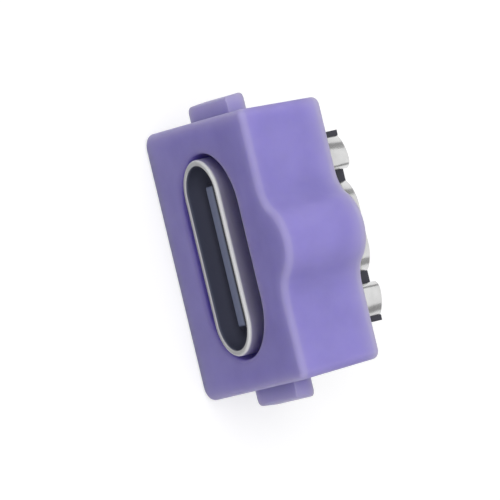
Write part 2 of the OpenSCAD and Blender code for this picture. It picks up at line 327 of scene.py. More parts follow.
class Finish(Tree):
    """One material."""

    def __init__(self, name):
        self.material = bpy.data.materials.new(finish_name(name))
        self.material.use_nodes = True
        super().__init__(self.material.node_tree)
        self.tree.nodes.clear()

    def close(self, shader):
        """The material, with this shader as its surface."""
        self.node("ShaderNodeOutputMaterial", {"Surface": shader})
        return self.material

    def surface(self, inputs):
        """The material, with one principled shader."""
        return self.close(self.node("ShaderNodeBsdfPrincipled", inputs))

    def bump(self, height, depth):
        """A normal from a height of 0 to 1 that stands for this depth, in metres."""
        return self.node("ShaderNodeBump", {"Strength": 1.0, "Distance": depth, "Height": height})


def housing_plastic():
    """Soft-gloss moulding that lets a little light in, with painted shade in its pocket and a
    painted glow at its edges.
    """
    colours = settings().colours
    finish = Finish("housing_plastic")
    cloud = finish.noise(1.4 * MM, 4.0)
    grain = finish.noise(0.10 * MM, 2.0)
    swell = finish.noise(1.6 * MM, 1.0)
    pale = finish.step(cloud, 0.20, 0.80)
    tone = finish.attribute(TONE)
    # Painted glow towards the edges and painted shade in the pocket, read from the tone that the
    # housing carries
    edge = finish.step(tone, FACE_TONE, EDGE_PAINTED_GLOW)
    past_painted_shade = finish.step(tone, POCKET_PAINTED_SHADE, FACE_TONE)
    clouded = finish.mix(pale, rgba(colours.housing_deep), rgba(colours.housing))
    with_painted_glow = finish.mix(edge, clouded, rgba(colours.housing_painted_glow))
    return finish.surface(
        {
            "Base Color": finish.mix(past_painted_shade, rgba(colours.housing_painted_shade), with_painted_glow),
            "Roughness": 0.40 + 0.10 * grain,
            "IOR": 1.40,
            "Specular IOR Level": 0.20,
            "Subsurface Weight": 1.0,
            "Subsurface Radius": (1.0, 0.9, 1.0),
            "Subsurface Scale": 1.8 * MM,
            "Normal": finish.bump(swell + 0.06 * grain, 0.03 * MM),
        }
    )


# The shell's plating, and the shade and highlight painted on it, change between these depths,
# heights and shares of its wall
PAST_ROUND = (0.02 * MM, 0.07 * MM)
PAST_RIM = (0.05 * MM, 0.12 * MM)
FAR_IN = (0.0, 1.0 * MM)
OVER_LOW_SIDE = (-1.45 * MM, -0.9 * MM)
INNER_FACE = (0.88, 0.74)  # shares of the wall, counted from its outer face


def shell_metal():
    """Bright nickel plate, rougher and less metallic inside the mouth and rougher on its cut rim,
    with painted shade inside the mouth and on its low side and a painted highlight on its rim.
    """
    colours = settings().colours
    finish = Finish("shell_metal")
    low, high = corners(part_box("shell"))
    wall = settings().metal.shell_wall
    radius = (high.z - low.z) / 2
    x, y, z = finish.axes()
    beyond = (abs(x) - (high.x - radius)).at_least(0.0)
    reach = (beyond * beyond + z * z).power(0.5)
    inside = 1.0 - finish.step(reach, *(radius - share * wall for share in INNER_FACE))
    behind = finish.step(y, *PAST_ROUND)
    fine = finish.noise(0.05 * MM, 2.0, (1.0, 0.15, 1.0))
    # Inside the mouth the plating is rougher and less metallic; its dark colour there, lighter far
    # in, is painted shade
    dull_and_shaded = inside * behind
    outer = (1.0 - inside) * behind
    # Painted shade on the shell's low side
    painted_low_shade = 1.0 - finish.step(z, *OVER_LOW_SIDE)
    # The rim is rougher, and its lighter colour is a painted highlight
    rim = 1.0 - finish.step(y, *PAST_RIM)
    far = finish.step(y, *FAR_IN)
    bright = finish.mix(rim, rgba(colours.nickel), rgba(colours.nickel_rim_painted_highlight))
    outside = finish.mix(painted_low_shade, bright, rgba(colours.nickel_low_painted_shade))
    within = finish.mix(far, rgba(colours.nickel_inside_painted_shade), rgba(colours.nickel_far_in_painted_shade))
    return finish.surface(
        {
            "Base Color": finish.mix(dull_and_shaded, outside, within),
            "Metallic": 1.0 - 0.7 * dull_and_shaded,
            "Roughness": 0.16 + 0.10 * fine + 0.20 * outer + 0.18 * dull_and_shaded + 0.38 * rim,
            "Normal": finish.bump(fine, 0.0008 * MM),
        }
    )


def tongue_plastic():
    """Dark moulding with a smooth front face that is painted pale, as a painted highlight."""
    colours = settings().colours
    finish = Finish("tongue_plastic")
    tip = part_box("tongue")[0][1]
    depth = finish.axes()[1]
    # Painted highlight: the tongue's front face is painted pale
    front = 1.0 - finish.step(depth, tip + 0.02 * MM, tip + 0.08 * MM)
    grain = finish.noise(0.06 * MM, 3.0)
    return finish.surface(
        {
            "Base Color": finish.mix(front, rgba(colours.tongue), rgba(colours.tongue_tip_painted_highlight)),
            "Roughness": 0.30 + 0.15 * grain,
            "Normal": finish.bump(grain, 0.003 * MM),
        }
    )


def plated(name, rgb, roughness, feature):
    """Plated sheet metal with fine marks drawn out along the depth."""
    finish = Finish(name)
    marks = finish.noise(feature, 3.0, (1.0, 0.12, 1.0))
    stain = finish.noise(0.9 * MM, 2.0)
    clean = finish.step(stain, 0.35, 0.75)
    return finish.surface(
        {
            "Base Color": finish.mix(clean, rgba(scaled(rgb, 0.88)), rgba(rgb)),
            "Metallic": 1.0,
            "Roughness": roughness + 0.12 * marks,
            "Normal": finish.bump(marks, 0.0012 * MM),
        }
    )


def moulded(name, rgb, roughness):
    """Glass-filled engineering plastic with a fine grain."""
    finish = Finish(name)
    grain = finish.noise(0.06 * MM, 3.0)
    flecks = finish.step(finish.noise(0.09 * MM, 1.0), 0.66, 0.74)
    return finish.surface(
        {
            "Base Color": finish.mix(0.5 * flecks, rgba(rgb), rgba(scaled(rgb, 1.9))),
            "Roughness": roughness + 0.15 * grain,
            "Normal": finish.bump(grain, 0.003 * MM),
        }
    )


class SOCKET_OT_finishes(Operator):
    """Make every plastic and metal finish"""

    bl_idname = "socket.finishes"
    bl_label = "Finishes"

    def execute(self, context):
        colours = settings().colours
        housing_plastic()
        shell_metal()
        tongue_plastic()
        moulded("carrier_plastic", colours.insulator, 0.45)
        moulded("insulator_plastic", colours.insulator, 0.40)
        plated("plate_steel", colours.steel, 0.28, 0.04 * MM)
        plated("contact_gold", colours.gold, 0.18, 0.04 * MM)
        plated("terminal_metal", colours.tin, 0.12, 0.06 * MM)
        return {"FINISHED"}


def finish_of(slot):
    """The finish that was made for this slot."""
    material = bpy.data.materials.get(finish_name(slot))
    if material is None:
        raise RuntimeError("make the finishes before the pieces: " + slot)
    return material


# ---- Meshes ----

MERGE = 0.001 * MM  # points of a swept piece that are nearer than this are one
CREASE = 35.0  # in degrees: sharper edges stay sharp
HOUSING_CREASE = 30.0


def add_piece(name, data):
    """A new object at the origin that holds this mesh, camera or lamp."""
    piece = bpy.data.objects.new(name, data)
    bpy.context.scene.collection.objects.link(piece)
    return piece


def hand_over(piece, slot, *nodes):
    """Finish a piece, tie it to the frame and let it stand for its CAD nodes."""
    piece.data.materials.clear()
    piece.data.materials.append(finish_of(slot))
    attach(piece, BODY)
    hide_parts(*nodes)


def freeze(piece):
    """Turn a piece and its modifiers into a plain mesh."""
    graph = bpy.context.evaluated_depsgraph_get()
    mesh = bpy.data.meshes.new_from_object(piece.evaluated_get(graph))
    piece.modifiers.clear()
    piece.data = mesh


def shade(mesh, degrees=CREASE):
    """Smooth shading, with edges sharper than this left sharp."""
    for face in mesh.polygons:
        face.use_smooth = True
    mesh.set_sharp_from_angle(angle=math.radians(degrees))


def mesh_from(build):
    """The mesh that a function builds in a BMesh, with its faces outwards."""
    work = bmesh.new()
    build(work)
    bmesh.ops.recalc_face_normals(work, faces=work.faces)
    mesh = bpy.data.meshes.new("work")
    work.to_mesh(mesh)
    work.free()
    return mesh


def softened(node, name, radius):
    """A merged copy of a CAD node with its edges rounded."""
    work = bmesh.new()
    work.from_mesh(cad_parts[node].data)
    bmesh.ops.remove_doubles(work, verts=work.verts, dist=2 * MERGE)
    bmesh.ops.dissolve_limit(
        work, angle_limit=math.radians(1.0), verts=work.verts, edges=work.edges
    )
    mesh = bpy.data.meshes.new(name)
    work.to_mesh(mesh)
    work.free()
    piece = add_piece(name, mesh)
    bevel = piece.modifiers.new("round edges", "BEVEL")
    bevel.width = radius
    bevel.segments = 3
    bevel.limit_method = "ANGLE"
    bevel.angle_limit = math.radians(CREASE)
    freeze(piece)
    shade(piece.data)
    return piece


def arc(centre, radius, start, end, steps):
    """Points of an arc in X and Z, its first point left out."""
    return [
        (centre[0] + radius * math.cos(a), centre[1] + radius * math.sin(a))
        for a in (start + (end - start) * i / steps for i in range(1, steps + 1))
    ]


def line(start, end, steps):
    """Points of a straight line, its first point left out."""
    return [
        tuple(s + (e - s) * i / steps for s, e in zip(start, end)) for i in range(1, steps + 1)
    ]


# ---- Housing ----

# Steps along each stretch of the outline's right half
FLAT_STEPS, END_STEPS, SIDE_STEPS = 30, 44, 20
FLAT_CORNER_STEPS, BUMP_CORNER_STEPS = 10, 8
FOOT_STEPS, TOP_STEPS = 12, 16

# Where the rings lie on each stretch of the section, in shares of its length
BORE_SHARES = (0.0, 0.1, 0.9)
FLOOR_SHARES = (0.08, 0.5, 0.92)
POCKET_SHARES = (0.05, 0.35, 0.65, 0.95)
FACE_SHARES = (0.03, 0.12, 0.3, 0.5, 0.7, 0.88, 0.97)
WALL_SHARES = (0.03, 0.08, 0.14, 0.22, 0.32, 0.45, 0.60, 0.72, 0.82, 0.90, 0.96)

# Painted light and shade in between, and how far each painted shade or glow reaches
MOUTH_PAINTED_SHADE = 0.35
FRONT_EDGE_PAINTED_GLOW = 0.74
REAR_WALL_PAINTED_GLOW = 0.92
REAR_EDGE_PAINTED_GLOW = 0.9
TAB_PAINTED_GLOW = 0.8
MOUTH_FADE = 0.125  # share of the front face over which the pocket's shade ends
EDGE_FADE = 0.5  # share of the front face over which its edge grows light
FRONT_FADE = 0.8 * MM
REAR_FADE = 1.4 * MM

TAB_ROOT = 0.6 * MM  # how far a tab's walls go into the housing
TAB_STEPS = (6, 16)  # across and along its flat part
TAB_ROUND_STEPS = 6


class HousingPlan:
    """The housing's outline at any depth, from the frame's box and the named sizes."""

    def __init__(self, form):
        low, high = corners(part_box("housing"))
        ramp = form.tab_width * math.tan(form.tab_ramp)
        self.form = form
        self.front = low.y
        self.rear = high.y
        self.half_length = high.x - form.tab_reach - ramp
        self.flat_side = low.z
        self.bump_side = -low.z
        run = self.rear - self.front - form.edge_r
        self.bump_height = high.z + low.z - run * math.tan(form.bump_slope)

    def half(self, depth):
        """Half the housing's length at this depth."""
        return self.half_length - depth * math.tan(self.form.draft)

    def outline(self, depth, inset):
        """The outline, from the middle of the flat side to the right and round."""
        form = self.form
        half = self.half(depth)
        low_x = half - form.flat_corner_r
        low_z = self.flat_side + form.flat_corner_r
        high_x = half - form.bump_corner_r
        high_z = self.bump_side - form.bump_corner_r
        low_r = form.flat_corner_r - inset
        high_r = form.bump_corner_r - inset
        foot_x = form.bump_width / 2
        height = self.bump_height + depth * math.tan(form.bump_slope)
        lean = 2 * math.atan(height / foot_x)
        foot_r = foot_x / math.sin(lean) - form.bump_top_r
        foot_z = self.bump_side + foot_r
        top_z = self.bump_side + height - form.bump_top_r
        flat_z = self.flat_side + inset
        side_z = self.bump_side - inset
        right = [
            *line((0.0, flat_z), (low_x, flat_z), FLAT_STEPS),
            *arc((low_x, low_z), low_r, -QUARTER, 0.0, FLAT_CORNER_STEPS),
            *line((half - inset, low_z), (half - inset, high_z), END_STEPS),
            *arc((high_x, high_z), high_r, 0.0, QUARTER, BUMP_CORNER_STEPS),
            *line((high_x, side_z), (foot_x, side_z), SIDE_STEPS),
            *arc((foot_x, foot_z), foot_r + inset, -QUARTER, -QUARTER - lean, FOOT_STEPS),
            *arc((0.0, top_z), form.bump_top_r - inset, QUARTER - lean, QUARTER, TOP_STEPS),
        ]
        left = [(-x, z) for x, z in reversed(right[:-1])]
        return [*right, *left, (0.0, flat_z)]

    def oblong(self, long_half, short_half):
        """A ring with round ends, each point opposite its point of the outline."""
        straight = long_half - short_half
        ring = []
        for x, z in self.outline(0.0, 0.0):
            spine = max(-straight, min(straight, x))
            away = Vector((x - spine, z)).normalized() * short_half
            ring.append((spine + away.x, away.y))
        return ring


def between(first, second, share):
    """A ring at this share of the way from one ring to another."""
    return [
        tuple(a + (b - a) * share for a, b in zip(start, end)) for start, end in zip(first, second)
    ]


def turns(steps):
    """Angles from nothing to a quarter turn."""
    return [QUARTER * i / steps for i in range(steps + 1)]


def quarter_round(radius, steps):
    """Depth and inset along a quarter round, from its face to its wall."""
    return [(radius * (1 - math.cos(a)), radius * (1 - math.sin(a))) for a in turns(steps)]


def faded(distance, reach):
    """1 at an edge, and 0 from this reach on."""
    return max(0.0, 1.0 - distance / reach) ** 1.5


def painted_face_tone(share):
    """Painted light and shade of the front face, from the pocket's mouth (0) to its outer edge (1).
    """
    opened = (FACE_TONE - MOUTH_PAINTED_SHADE) * min(1.0, share / MOUTH_FADE)
    lit = (FRONT_EDGE_PAINTED_GLOW - FACE_TONE) * faded(1.0 - share, EDGE_FADE)
    return MOUTH_PAINTED_SHADE + opened + lit


def painted_wall_tone(back, depth):
    """Painted glow of the outer wall: lightest at its front and rear edges."""
    front = (FRONT_EDGE_PAINTED_GLOW - FACE_TONE) * faded(back, FRONT_FADE)
    rear = (REAR_WALL_PAINTED_GLOW - FACE_TONE) * faded(depth - back, REAR_FADE)
    return FACE_TONE + max(front, rear)


def housing_rings(plan):
    """Closed loop of rings, each with its tone of painted light and shade: bore, pocket, front
    face, outside, rear face.
    """
    form = plan.form
    shell = corners(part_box("shell"))[1]
    pocket = (shell.x + form.pocket_end_gap, shell.z + form.pocket_side_gap)
    depth = plan.rear - plan.front
    floor_y = plan.front + form.pocket_depth
    rings = []

    def add(y, ring, tone=POCKET_PAINTED_SHADE):
        rings.append((tone, [(x, y, z) for x, z in ring]))

    def widened(by):
        return plan.oblong(pocket[0] + by, pocket[1] + by)

    bore = plan.oblong(shell.x, shell.z)
    for share in BORE_SHARES:
        add(plan.rear + (floor_y - plan.rear) * share, bore)
    add(floor_y, bore)
    for share in FLOOR_SHARES:
        add(floor_y, between(bore, widened(-form.pocket_floor_r), share))
    for back, inset in quarter_round(form.pocket_floor_r, 5):
        add(floor_y - back, widened(-inset))
    wall = form.pocket_depth - form.pocket_floor_r - form.pocket_mouth_r
    for share in POCKET_SHARES:
        add(floor_y - form.pocket_floor_r - wall * share, widened(0.0))
    # Painted shade round the pocket's mouth, fading towards the front face
    for back, inset in reversed(quarter_round(form.pocket_mouth_r, 6)):
        tone = MOUTH_PAINTED_SHADE * (1 - back / form.pocket_mouth_r)
        add(plan.front + back, widened(inset), tone)
    mouth = widened(form.pocket_mouth_r)
    front = plan.outline(0.0, form.edge_r)
    for share in FACE_SHARES:
        add(plan.front, between(mouth, front, share), painted_face_tone(share))
    rolled = quarter_round(form.edge_r, 8)
    for back, inset in rolled:
        add(plan.front + back, plan.outline(back, inset), FRONT_EDGE_PAINTED_GLOW)
    for share in WALL_SHARES:
        back = form.edge_r + (depth - 2 * form.edge_r) * share
        add(plan.front + back, plan.outline(back, 0.0), painted_wall_tone(back, depth))
    for back, inset in reversed(rolled):
        add(plan.rear - back, plan.outline(depth - back, inset), REAR_EDGE_PAINTED_GLOW)
    rear = plan.outline(depth, form.edge_r)
    for share in FACE_SHARES:
        add(plan.rear, between(rear, bore, share), FACE_TONE)
    return rings


def build_rings(work, rings):
    """Faces through closed rings, and from the last ring back to the first."""
    tones = work.verts.layers.float.new(TONE)
    rows = []
    for tone, ring in rings:
        rows.append([work.verts.new(point) for point in ring])
        for vert in rows[-1]:
            vert[tones] = tone
    for k, row in enumerate(rows):
        after = rows[(k + 1) % len(rows)]
        for i in range(len(row)):
            j = (i + 1) % len(row)
            work.faces.new((row[i], row[j], after[j], after[i]))


def eased(count, span, rim):
    """Places from -span to span, dense within rim of both ends."""
    inner = [(span - rim) * (1 - 2 * i / count) for i in range(1, count)]
    right = [span - rim * math.sin(turn) for turn in turns(TAB_ROUND_STEPS)]
    return [-place for place in right] + sorted(inner) + sorted(right)


def build_tab(work, plan, side):
    """A snap tab: a domed outer face over straight walls that go into the housing."""
    form = plan.form
    half_y, half_z = form.tab_width / 2, form.tab_length / 2
    middle_y = plan.front + form.tab_setback + half_y
    outer = plan.half_length + form.tab_reach
    root = plan.half_length - TAB_ROOT

    def fall(place, span, radius):
        """How far the round edge has dropped at this place."""
        beyond = max(0.0, abs(place) - (span - radius))
        return radius - math.sqrt(max(0.0, radius * radius - beyond * beyond))

    across = eased(TAB_STEPS[0], half_y, form.tab_edge_r)
    along = eased(TAB_STEPS[1], half_z, form.tab_corner_r)
    rows = []
    for y in across:
        top = outer + (y + half_y) * math.tan(form.tab_ramp)
        row = []
        for z in along:
            drop = max(fall(y, half_y, form.tab_edge_r), fall(z, half_z, form.tab_corner_r))
            row.append(work.verts.new((side * (top - drop), middle_y + y, z)))
        rows.append(row)
    for row, after in zip(rows, rows[1:]):
        for i in range(len(row) - 1):
            work.faces.new((row[i], row[i + 1], after[i + 1], after[i]))
    rim = rows[0] + [row[-1] for row in rows[1:-1]] + rows[-1][::-1]
    rim += [row[0] for row in rows[-2:0:-1]]
    foot = [work.verts.new((side * root, vert.co.y, vert.co.z)) for vert in rim]
    for i in range(len(rim)):
        j = (i + 1) % len(rim)
        work.faces.new((rim[i], rim[j], foot[j], foot[i]))
    work.faces.new(foot)


def paint_glow_on_tabs(mesh, plan):
    """Give the tabs a painted glow that stands in for light showing through them, since they are
    thin and the join leaves them without a tone.
    """
    form = plan.form
    slack = 0.01 * MM
    start = plan.front + form.tab_setback
    tones = mesh.attributes[TONE].data
    for vert in mesh.vertices:
        x, y, z = vert.co
        across = start - slack < y < start + form.tab_width + slack
        along = abs(z) < form.tab_length / 2 + slack
        if across and along and abs(x) > plan.half(y - plan.front) - 2 * slack:
            tones[vert.index].value = TAB_PAINTED_GLOW


class SOCKET_OT_housing(Operator):
    """Build the moulded housing with its pocket, bump and snap tabs"""

    bl_idname = "socket.housing"
    bl_label = "Housing"

    def execute(self, context):
        plan = HousingPlan(settings().housing)
        body = mesh_from(lambda work: build_rings(work, housing_rings(plan)))
        piece = add_piece("moulded_housing", body)
        tabs = []
        for side, name in SIDES:
            tab = add_piece(name + " tab", mesh_from(lambda work: build_tab(work, plan, side)))
            join = piece.modifiers.new(tab.name, "BOOLEAN")
            join.operation = "UNION"
            join.solver = "EXACT"
            join.object = tab
            tabs.append(tab)
        freeze(piece)
        for tab in tabs:
            bpy.data.objects.remove(tab)
        paint_glow_on_tabs(piece.data, plan)
        shade(piece.data, HOUSING_CREASE)
        hand_over(piece, "housing_plastic", "housing")
        return {"FINISHED"}


# ---- Sheet metal ----

SHELL_SIDE_STEPS, SHELL_END_STEPS = 24, 40
BEND_STEPS, ROLL_STEPS = 16, 10
FULL_ROUND = 0.49  # radius of a round rim, in shares of its wall


def geometry_tree(name, floats, vectors):
    """A Geometry Nodes tree with these inputs, and what its inputs give."""
    tree = bpy.data.node_groups.new(name, "GeometryNodeTree")
    for kind, labels in (("Geometry", ["Geometry"]), ("Float", floats), ("Vector", vectors)):
        for label in labels:
            tree.interface.new_socket(label, in_out="INPUT", socket_type="NodeSocket" + kind)
    tree.interface.new_socket("Geometry", in_out="OUTPUT", socket_type="NodeSocketGeometry")
    maker = Tree(tree)
    return maker, maker.node("NodeGroupInput").outputs


def close_tree(maker, geometry):
    """The end of every tree: real, smooth geometry."""
    real = maker.node("GeometryNodeRealizeInstances", {"Geometry": geometry})
    smooth = maker.node("GeometryNodeSetShadeSmooth", {"Geometry": real})
    maker.node("NodeGroupOutput", {"Geometry": smooth})
    return maker.tree


def rounded_profile(maker, width, height, radius):
    """A rectangle with round corners, as a profile curve."""
    size = {"Width": width, "Height": height}
    flat = maker.node("GeometryNodeCurvePrimitiveQuadrilateral", size)
    rounding = {"Curve": flat, "Radius": radius, "Count": 6, "Limit Radius": True}
    return maker.node("GeometryNodeFilletCurve", rounding, mode="POLY")


def swept(maker, path, profile):
    """A profile swept along a path, its ends closed."""
    level = maker.node("GeometryNodeSetCurveNormal", {"Curve": path}, mode="Z_UP")
    curves = {"Curve": level, "Profile Curve": profile, "Fill Caps": True}
    return maker.node("GeometryNodeCurveToMesh", curves)


def stood_up(maker, geometry, place):
    """Flat geometry stood upright, its Y axis up, at this place."""
    stand = {"Geometry": geometry, "Translation": place, "Rotation": (QUARTER, 0.0, 0.0)}
    return maker.node("GeometryNodeTransform", stand)


def swept_sheet_tree():
    """Sheet metal that follows the edges of a flat path, with rounded cut edges."""
    maker, given = geometry_tree("swept sheet", ["Depth", "Thickness", "Edge radius"], ["Place"])
    path = maker.node("GeometryNodeMeshToCurve", {"Mesh": given["Geometry"]})
    profile = rounded_profile(maker, given["Thickness"], given["Depth"], given["Edge radius"])
    return close_tree(maker, stood_up(maker, swept(maker, path, profile), given["Place"]))


def contact_rows_tree():
    """Strip contacts at the four corners of a rectangle, all along the depth."""
    maker, given = geometry_tree(
        "contact rows",
        ["Spacing across", "Spacing between faces", "Width", "Thickness", "Edge radius"],
        ["Start", "Run"],
    )
    spacing = {"Size X": given["Spacing across"], "Size Y": given["Spacing between faces"]}
    grid = maker.node("GeometryNodeMeshGrid", {**spacing, "Vertices X": 2, "Vertices Y": 2})
    upright = stood_up(maker, grid, given["Start"])
    run = maker.node("GeometryNodeCurvePrimitiveLine", {"End": given["Run"]})
    profile = rounded_profile(maker, given["Width"], given["Thickness"], given["Edge radius"])
    strip = swept(maker, run, profile)
    placed = maker.node("GeometryNodeInstanceOnPoints", {"Points": upright, "Instance": strip})
    return close_tree(maker, placed)


def grow(name, mesh, tree, values):
    """A plain mesh, made by a Geometry Nodes tree with these inputs."""
    piece = add_piece(name, mesh)
    grown = piece.modifiers.new("grow", "NODES")
    grown.node_group = tree
    for item in tree.interface.items_tree:
        if item.in_out == "INPUT" and item.name in values:
            grown[item.identifier] = values[item.name]
    freeze(piece)
    return piece


def path_mesh(points, closed):
    """Edges through flat points, in the plane in which the sheet is swept."""
    mesh = bpy.data.meshes.new("path")
    edges = [(i, i + 1) for i in range(len(points) - 1)]
    if closed:
        edges.append((len(points) - 1, 0))
    mesh.from_pydata([(x, z, 0.0) for x, z in points], edges, [])
    return mesh


def closed_up(piece):
    """Merge a swept piece's doubles and turn its faces outwards."""
    work = bmesh.new()
    work.from_mesh(piece.data)
    bmesh.ops.remove_doubles(work, verts=work.verts, dist=MERGE)
    bmesh.ops.recalc_face_normals(work, faces=work.faces)
    work.to_mesh(piece.data)
    work.free()
    shade(piece.data)


def sweep(name, points, closed, low_y, high_y, thickness, edge_r):
    """A sheet of this thickness along a path in X and Z, between two depths."""
    tree = bpy.data.node_groups.get("swept sheet") or swept_sheet_tree()
    values = {
        "Depth": high_y - low_y,
        "Thickness": thickness,
        "Edge radius": edge_r,
        "Place": (0.0, (low_y + high_y) / 2, 0.0),
    }
    piece = grow(name, path_mesh(points, closed), tree, values)
    closed_up(piece)
    return piece


class SOCKET_OT_shell(Operator):
    """Sweep the drawn metal shell with its round rim"""

    bl_idname = "socket.shell"
    bl_label = "Shell"

    def execute(self, context):
        low, high = corners(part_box("shell"))
        wall = settings().metal.shell_wall
        radius = high.z - wall / 2
        straight = high.x - high.z
        points = [
            *line((-straight, -radius), (straight, -radius), SHELL_SIDE_STEPS),
            *arc((straight, 0.0), radius, -QUARTER, QUARTER, SHELL_END_STEPS),
            *line((straight, radius), (-straight, radius), SHELL_SIDE_STEPS),
            *arc((-straight, 0.0), radius, QUARTER, 3 * QUARTER, SHELL_END_STEPS),
        ]
        rim_r = FULL_ROUND * wall
        piece = sweep("drawn_shell", points, True, low.y, high.y, wall, rim_r)
        hand_over(piece, "shell_metal", "shell")
        return {"FINISHED"}


def shoulder(run, height):
    """Radius of an arc that leaves a flat top and falls by height over a run."""
    return (run * run + height * height) / (2 * height)


def arch_path(width, flat, base, top, sheet):
    """Middle line of the arch: up, over its flat top and down."""
    run = (width - flat) / 2
    radius = shoulder(run, top - base)
    middle = radius - sheet / 2
    centre_z = top - radius
    fall = math.acos((base - centre_z) / middle)
    right = arc((flat / 2, centre_z), middle, QUARTER, QUARTER - fall, BEND_STEPS)
    left = [(-x, z) for x, z in reversed(right)]
    return [*left, (-flat / 2, top - sheet / 2), (flat / 2, top - sheet / 2), *right]


def barrel_path(inner, outer, base, top, roll, edge, sheet):
    """Middle line of a ground terminal: up, round the roll and down outwards."""
    peak = inner + roll
    radius = shoulder(outer - peak, top - base - edge)
    middle = radius - sheet / 2
    fall = math.asin((outer - peak) / radius)
    return [
        (inner + sheet / 2, base),
        (inner + sheet / 2, top - roll),
        *arc((peak, top - roll), roll - sheet / 2, math.pi, QUARTER, ROLL_STEPS),
        *arc((peak, top - radius), middle, QUARTER, QUARTER - fall, BEND_STEPS),
    ]


def add_leg(piece, x, low, high, radius):
    """Join a rounded leg between two corners to a piece, moved sideways to x."""
    work = bmesh.new()
    place = Matrix.Translation((low + high) / 2) @ Matrix.Diagonal((*(high - low), 1.0))
    bmesh.ops.create_cube(work, size=1.0, matrix=place)
    bmesh.ops.bevel(
        work, geom=work.edges[:], offset=radius, segments=2, affect="EDGES", profile=0.5
    )
    bmesh.ops.translate(work, verts=work.verts, vec=(x, 0.0, 0.0))
    work.from_mesh(piece.data)
    work.to_mesh(piece.data)
    work.free()
    shade(piece.data)


class SOCKET_OT_terminals(Operator):
    """Roll the power terminal's arch and both ground terminals"""

    bl_idname = "socket.terminals"
    bl_label = "Terminals"

    def form(self, name, points, low, high):
        """A terminal's sheet, swept along these points from low's depth to high's."""
        sheet, edge_r = self.metal.sheet, self.metal.sheet_edge_r
        return sweep(name, points, False, low.y, high.y, sheet, edge_r)

    def leg(self, piece, node, contact, top):
        """The leg of a node's terminal, over the middle of a contact's box."""
        half = self.metal.leg_width / 2
        start = Vector(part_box(node)[0])
        low = Vector((-half, start.y, start.z))
        high = Vector((half, start.y + self.metal.sheet, top))
        x = (contact[0][0] + contact[1][0]) / 2
        add_leg(piece, x, low, high, self.metal.sheet_edge_r)

    def power(self, base):
        """The arch, with a leg for each power contact."""
        low, high = corners(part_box("power_terminal"))
        sheet = self.metal.sheet
        points = arch_path(high.x - low.x, self.metal.arch_flat, base, high.z, sheet)
        piece = self.form("power_arch", points, low, high)
        for _, name in SIDES:
            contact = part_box("power_contact_upper_" + name)
            self.leg(piece, "power_terminal", contact, high.z - sheet)
        hand_over(piece, "terminal_metal", "power_terminal")

    def ground(self, base, side, name):
        """The rolled terminal of one side, with its leg."""
        metal = self.metal
        node = "ground_terminal_" + name
        low, high = corners(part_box(node))
        inner, outer = sorted((abs(low.x), abs(high.x)))
        path = barrel_path(
            inner, outer, base, high.z, metal.roll_r, metal.outer_edge, metal.sheet
        )
        points = [(side * x, z) for x, z in path]
        piece = self.form("ground_barrel_" + name, points, low, high)
        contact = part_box("ground_contact_upper_" + name)
        self.leg(piece, node, contact, base + metal.roll_r)
        hand_over(piece, "terminal_metal", node)

    def execute(self, context):
        self.metal = settings().metal
        base = -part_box("rear_insulator")[0][2]  # the insulator's top face
        self.power(base)
        for side, name in SIDES:
            self.ground(base, side, name)
        return {"FINISHED"}


class SOCKET_OT_contacts(Operator):
    """Lay the contacts into both faces of the tongue"""

    bl_idname = "socket.contacts"
    bl_label = "Contacts"

    def execute(self, context):
        tree = contact_rows_tree()
        for kind in ("power", "ground"):
            low, high = corners(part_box(kind + "_contact_upper_right"))
            values = {
                "Spacing across": low.x + high.x,
                "Spacing between faces": low.z + high.z,
                "Start": (0.0, low.y, 0.0),
                "Run": (0.0, high.y - low.y, 0.0),
                "Width": high.x - low.x,
                "Thickness": high.z - low.z,
                "Edge radius": settings().metal.contact_edge_r,
            }
            piece = grow(kind + "_contacts", bpy.data.meshes.new(kind), tree, values)
            closed_up(piece)
            nodes = [
                kind + "_contact_" + face + "_" + name
                for face in ("upper", "lower")
                for _, name in SIDES
            ]
            hand_over(piece, "contact_gold", *nodes)
        return {"FINISHED"}


# ---- Inner mouldings ----


class SOCKET_OT_mouldings(Operator):
    """Round the edges of the tongue and the rear insulator, and finish what is inside"""

    bl_idname = "socket.mouldings"
    bl_label = "Mouldings"

    def execute(self, context):
        form = settings().moulding
        tongue = softened("tongue", "contact_tongue", form.tongue_edge_r)
        hand_over(tongue, "tongue_plastic", "tongue")
        insulator = softened("rear_insulator", "rear_block", form.insulator_edge_r)
        hand_over(insulator, "insulator_plastic", "rear_insulator")
        for node, slot in SHOWN_NODES.items():
            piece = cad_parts[node]
            piece.data.materials.clear()
            piece.data.materials.append(finish_of(slot))
        return {"FINISHED"}


# ---- Studio ----

LENS = 800.0  # in millimetres, for a view that is almost parallel
SENSOR = 36.0  # in millimetres
FRAME_WIDTH = 0.022182  # what the view takes in at the aim, in metres
CLIP = (0.01, 10.0)  # in metres
AIM = (0.0, 2.4 * MM, 0.9 * MM)
AIM_SHIFT = (0.951 * MM, 0.201 * MM)  # how far the aim lies right of and above the view's middle

# Lamps and cards: place and size in metres; every one faces the socket
TOP_LAMP = ((-0.04, -0.07, 0.29), 0.24)
FRONT_LAMP = ((0.0, -0.30, 0.03), 0.20)
SIDE_LAMP = ((0.26, 0.10, 0.12), 0.18)  # the left one mirrors it
COOL = (0.50, 0.50, 1.0)
LEFT_CARD = ((-0.30, 0.19, 0.18), (0.15, 0.15))
RIGHT_CARD = ((0.32, 0.19, 0.12), (0.15, 0.17))
SIDE_CARD_LEVEL = 0.36

# The front card lies on the floor before the mouth: depth of its middle, and size
FRONT_CARD = (-6.0 * MM, (22.0 * MM, 10.0 * MM))
FRONT_CARD_LEVEL = 0.15
FRONT_CARD_LIFT = 0.05 * MM
FLOOR_DROP = 0.01 * MM  # keeps the floor clear of the housing's flat side
FLOOR_REACH = 0.6  # from the floor's middle to its sides, in metres


